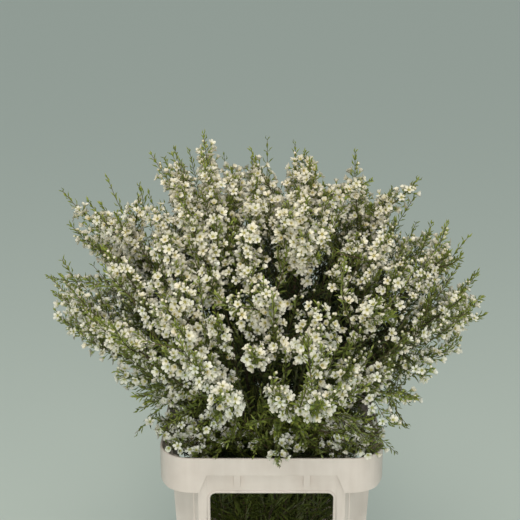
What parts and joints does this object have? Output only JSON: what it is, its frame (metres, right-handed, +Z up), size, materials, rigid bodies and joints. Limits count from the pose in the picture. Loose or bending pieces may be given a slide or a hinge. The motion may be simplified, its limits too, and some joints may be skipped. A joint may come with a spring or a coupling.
{
  "type": "bunch of waxflower stems in a flower bucket",
  "caption": "Bunch of flowering waxflower stems fanning out of a plain plastic flower bucket with a windowed collar; free-standing.",
  "frame": {"origin": "on the floor under the middle of the bucket", "axes": "+Z up; -Y is the narrow front side that the picture shows; +X to its right"},
  "size_m": [0.638, 0.6787, 0.8697],
  "materials": {
    "bucket_plastic": "moulded polypropylene, warm stone beige, lightly scuffed",
    "collar_plastic": "moulded polypropylene, warm stone beige, lightly scuffed",
    "stem_bark": "thin brown-green bark of a cut woody stem",
    "waxflower_bloom": "waxy white five-petalled flowers, round buds and fine needle leaves"
  },
  "bodies": {
    "root": {"bucket": "bucket_plastic", "collar": "collar_plastic", "stem_01": "stem_bark", "stem_02": "stem_bark", "stem_03": "stem_bark", "stem_04": "stem_bark", "stem_05": "stem_bark", "stem_06": "stem_bark", "stem_07": "stem_bark", "stem_08": "stem_bark", "stem_09": "stem_bark", "stem_10": "stem_bark", "stem_11": "stem_bark", "stem_12": "stem_bark", "stem_13": "stem_bark", "stem_14": "stem_bark", "stem_15": "stem_bark", "stem_16": "stem_bark", "stem_17": "stem_bark", "stem_18": "stem_bark", "stem_19": "stem_bark", "stem_20": "stem_bark", "stem_21": "stem_bark", "stem_22": "stem_bark", "stem_23": "stem_bark", "stem_24": "stem_bark", "stem_25": "stem_bark", "stem_26": "stem_bark", "stem_27": "stem_bark", "stem_28": "stem_bark", "flower_head_01": "waxflower_bloom", "flower_head_02": "waxflower_bloom", "flower_head_03": "waxflower_bloom", "flower_head_04": "waxflower_bloom", "flower_head_05": "waxflower_bloom", "flower_head_06": "waxflower_bloom", "flower_head_07": "waxflower_bloom", "flower_head_08": "waxflower_bloom", "flower_head_09": "waxflower_bloom", "flower_head_10": "waxflower_bloom", "flower_head_11": "waxflower_bloom", "flower_head_12": "waxflower_bloom", "flower_head_13": "waxflower_bloom", "flower_head_14": "waxflower_bloom", "flower_head_15": "waxflower_bloom", "flower_head_16": "waxflower_bloom", "flower_head_17": "waxflower_bloom", "flower_head_18": "waxflower_bloom", "flower_head_19": "waxflower_bloom", "flower_head_20": "waxflower_bloom", "flower_head_21": "waxflower_bloom", "flower_head_22": "waxflower_bloom", "flower_head_23": "waxflower_bloom", "flower_head_24": "waxflower_bloom", "flower_head_25": "waxflower_bloom", "flower_head_26": "waxflower_bloom", "flower_head_27": "waxflower_bloom", "flower_head_28": "waxflower_bloom"}
  },
  "joints": []
}
